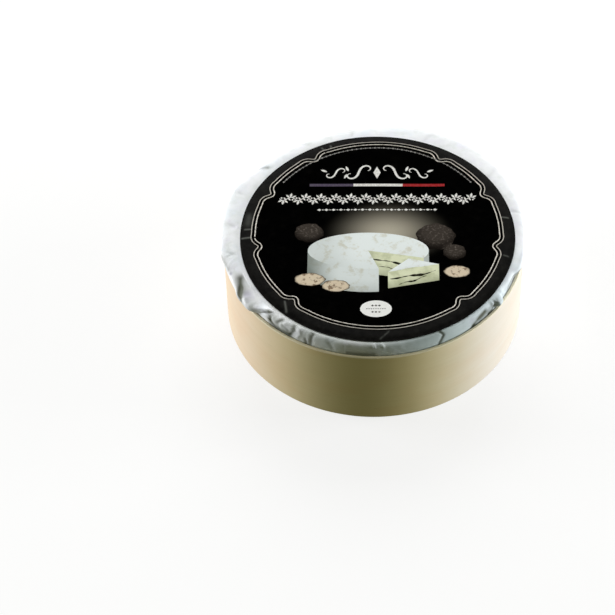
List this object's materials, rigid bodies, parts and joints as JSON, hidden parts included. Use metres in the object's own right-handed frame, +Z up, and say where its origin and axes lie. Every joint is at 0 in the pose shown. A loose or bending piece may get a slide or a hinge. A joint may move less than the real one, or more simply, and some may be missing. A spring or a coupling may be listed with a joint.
{
  "type": "truffle brie",
  "caption": "Soft round cheese wrapped in pale film, with a round black label on top, standing in an open round box of bent wood that it rises out of.",
  "frame": {"origin": "middle of the box's underside", "axes": "+Z up; -Y towards the viewer, the side that the label's design is read from; +X to the viewer's right"},
  "size_m": [0.1732, 0.1722, 0.0585],
  "materials": {
    "veneer": "bare peeled poplar, fine grain round the hoop",
    "base_wood": "bare sawn poplar, grain straight across",
    "film": "pearly silver-white film, creased",
    "label": "coated black paper with a cream line ornament"
  },
  "bodies": {
    "root": {"box_hoop": "veneer", "box_base": "base_wood", "wrapped_wheel": "film", "label": "label"}
  },
  "joints": []
}
